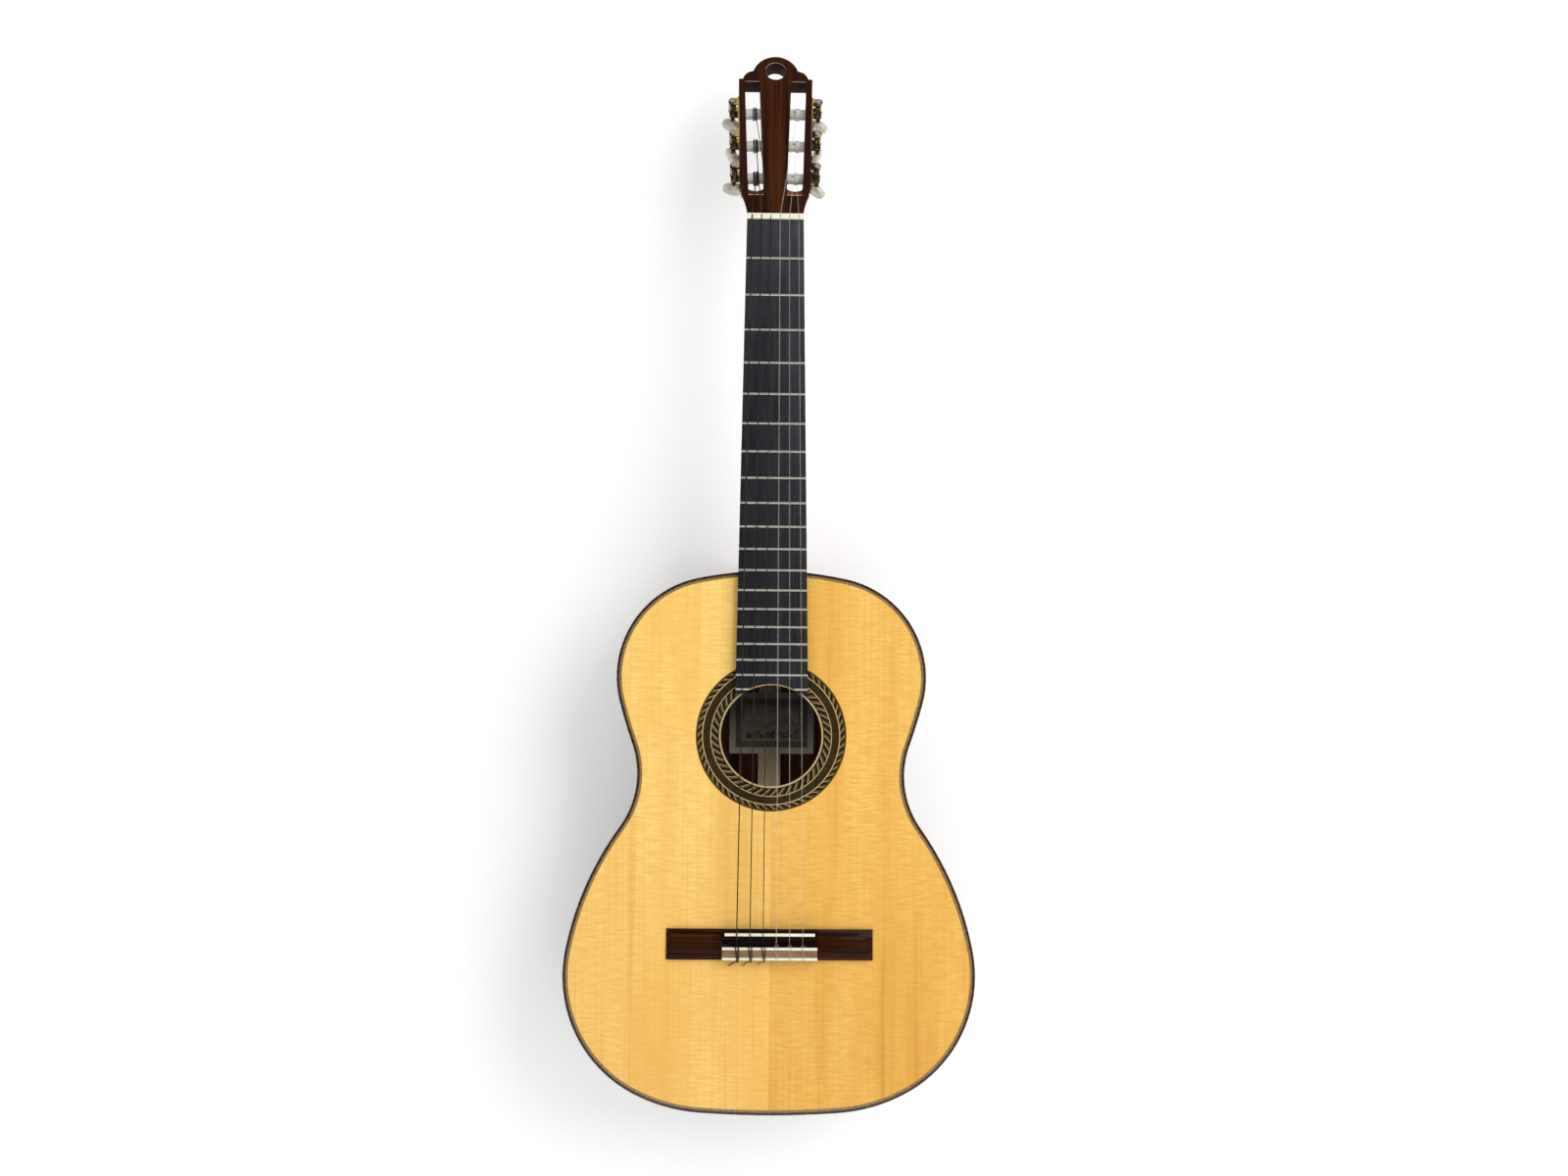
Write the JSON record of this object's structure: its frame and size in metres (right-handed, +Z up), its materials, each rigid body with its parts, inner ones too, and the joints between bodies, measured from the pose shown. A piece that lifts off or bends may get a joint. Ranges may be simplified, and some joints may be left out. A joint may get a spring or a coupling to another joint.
{
  "type": "classical guitar",
  "caption": "Classical guitar with slotted head, geared tuning machines, inlaid soundhole ring and tied bridge.",
  "frame": {"origin": "middle of the round through hole in the crest of the head, half way through the head", "axes": "+X to the treble side, +Y from the soundboard to the back, +Z up along the neck towards the head"},
  "size_m": [0.3692, 0.1178, 0.9838],
  "materials": {
    "spruce": "high gloss",
    "rosewood": "high gloss",
    "rosewood_veneer": "high gloss",
    "bridge_rosewood": "satin",
    "ebony": "satin",
    "cedar_neck": "high gloss",
    "binding": "high gloss",
    "purfling": "high gloss",
    "rosette": "high gloss",
    "pale_wood": "satin",
    "bone": "polished",
    "fret_metal": "polished",
    "brass": "polished, aged",
    "steel": "polished",
    "roller_white": "satin",
    "pearl": "pearl",
    "label_paper": "matt",
    "wound_string": "wound",
    "nylon": "clear"
  },
  "bodies": {
    "guitar": {"soundboard_bass": "spruce", "soundboard_treble": "spruce", "rosette": "rosette", "back_bass": "rosewood", "back_treble": "rosewood", "back_centre_strip": "purfling", "back_seam_strip": "pale_wood", "rib_bass": "rosewood", "rib_treble": "rosewood", "end_graft": "binding", "bindings": "binding", "purflings": "purfling", "linings": "pale_wood", "tail_block": "pale_wood", "top_braces": "pale_wood", "bridge_patch": "pale_wood", "back_braces": "pale_wood", "label": "label_paper", "neck": "cedar_neck", "fingerboard": "ebony", "frets": "fret_metal", "nut": "bone", "head": "cedar_neck", "head_underlay": "pale_wood", "head_veneer": "rosewood_veneer", "bridge": "bridge_rosewood", "saddle": "bone", "tie_block_strips": "bone", "tuner_plates": "brass", "plate_screws": "brass", "string_1": "wound_string", "string_2": "wound_string", "string_3": "wound_string", "string_4": "nylon", "string_5": "nylon", "string_6": "nylon"},
    "key_1": {"worm_1": "steel", "button_1": "pearl"},
    "roller_1": {"roller_1": "roller_white", "gear_1": "brass"},
    "key_2": {"worm_2": "steel", "button_2": "pearl"},
    "roller_2": {"roller_2": "roller_white", "gear_2": "brass"},
    "key_3": {"worm_3": "steel", "button_3": "pearl"},
    "roller_3": {"roller_3": "roller_white", "gear_3": "brass"},
    "key_4": {"worm_4": "steel", "button_4": "pearl"},
    "roller_4": {"roller_4": "roller_white", "gear_4": "brass"},
    "key_5": {"worm_5": "steel", "button_5": "pearl"},
    "roller_5": {"roller_5": "roller_white", "gear_5": "brass"},
    "key_6": {"worm_6": "steel", "button_6": "pearl"},
    "roller_6": {"roller_6": "roller_white", "gear_6": "brass"}
  },
  "joints": [
    {"name": "key_1_turn", "type": "hinge", "parent": "guitar", "child": "key_1", "pos_m": [-0.03903, -0.02784, -0.10038], "axis": [0, 0.9636, -0.2672], "range_deg": [-810, 810]},
    {"name": "roller_1_turn", "type": "hinge", "parent": "guitar", "child": "roller_1", "pos_m": [-0.03229, -0.03028, -0.10918], "axis": [-0.9997, -0.007, -0.0251], "range_deg": [-50.7, 50.7]},
    {"name": "key_2_turn", "type": "hinge", "parent": "guitar", "child": "key_2", "pos_m": [-0.03995, -0.01841, -0.06637], "axis": [0, 0.9636, -0.2672], "range_deg": [-810, 810]},
    {"name": "roller_2_turn", "type": "hinge", "parent": "guitar", "child": "roller_2", "pos_m": [-0.03321, -0.02084, -0.07516], "axis": [-0.9997, -0.007, -0.0251], "range_deg": [-50.7, 50.7]},
    {"name": "key_3_turn", "type": "hinge", "parent": "guitar", "child": "key_3", "pos_m": [-0.04087, -0.009, -0.03245], "axis": [0, 0.9636, -0.2672], "range_deg": [-810, 810]},
    {"name": "roller_3_turn", "type": "hinge", "parent": "guitar", "child": "roller_3", "pos_m": [-0.03413, -0.01144, -0.04124], "axis": [-0.9997, -0.007, -0.0251], "range_deg": [-50.7, 50.7]},
    {"name": "key_4_turn", "type": "hinge", "parent": "guitar", "child": "key_4", "pos_m": [0.04087, -0.009, -0.03245], "axis": [0, -0.9636, 0.2672], "range_deg": [-810, 810]},
    {"name": "roller_4_turn", "type": "hinge", "parent": "guitar", "child": "roller_4", "pos_m": [0.03413, -0.01144, -0.04124], "axis": [0.9997, -0.007, -0.0251], "range_deg": [-50.7, 50.7]},
    {"name": "key_5_turn", "type": "hinge", "parent": "guitar", "child": "key_5", "pos_m": [0.03995, -0.01841, -0.06637], "axis": [0, -0.9636, 0.2672], "range_deg": [-810, 810]},
    {"name": "roller_5_turn", "type": "hinge", "parent": "guitar", "child": "roller_5", "pos_m": [0.03321, -0.02084, -0.07516], "axis": [0.9997, -0.007, -0.0251], "range_deg": [-50.7, 50.7]},
    {"name": "key_6_turn", "type": "hinge", "parent": "guitar", "child": "key_6", "pos_m": [0.03903, -0.02784, -0.10038], "axis": [0, -0.9636, 0.2672], "range_deg": [-810, 810]},
    {"name": "roller_6_turn", "type": "hinge", "parent": "guitar", "child": "roller_6", "pos_m": [0.03229, -0.03028, -0.10918], "axis": [0.9997, -0.007, -0.0251], "range_deg": [-50.7, 50.7]}
  ],
  "couplings": [
    {"joint": "roller_1_turn", "follows": "key_1_turn", "ratio": -0.0625},
    {"joint": "roller_2_turn", "follows": "key_2_turn", "ratio": -0.0625},
    {"joint": "roller_3_turn", "follows": "key_3_turn", "ratio": -0.0625},
    {"joint": "roller_4_turn", "follows": "key_4_turn", "ratio": -0.0625},
    {"joint": "roller_5_turn", "follows": "key_5_turn", "ratio": -0.0625},
    {"joint": "roller_6_turn", "follows": "key_6_turn", "ratio": -0.0625}
  ]
}
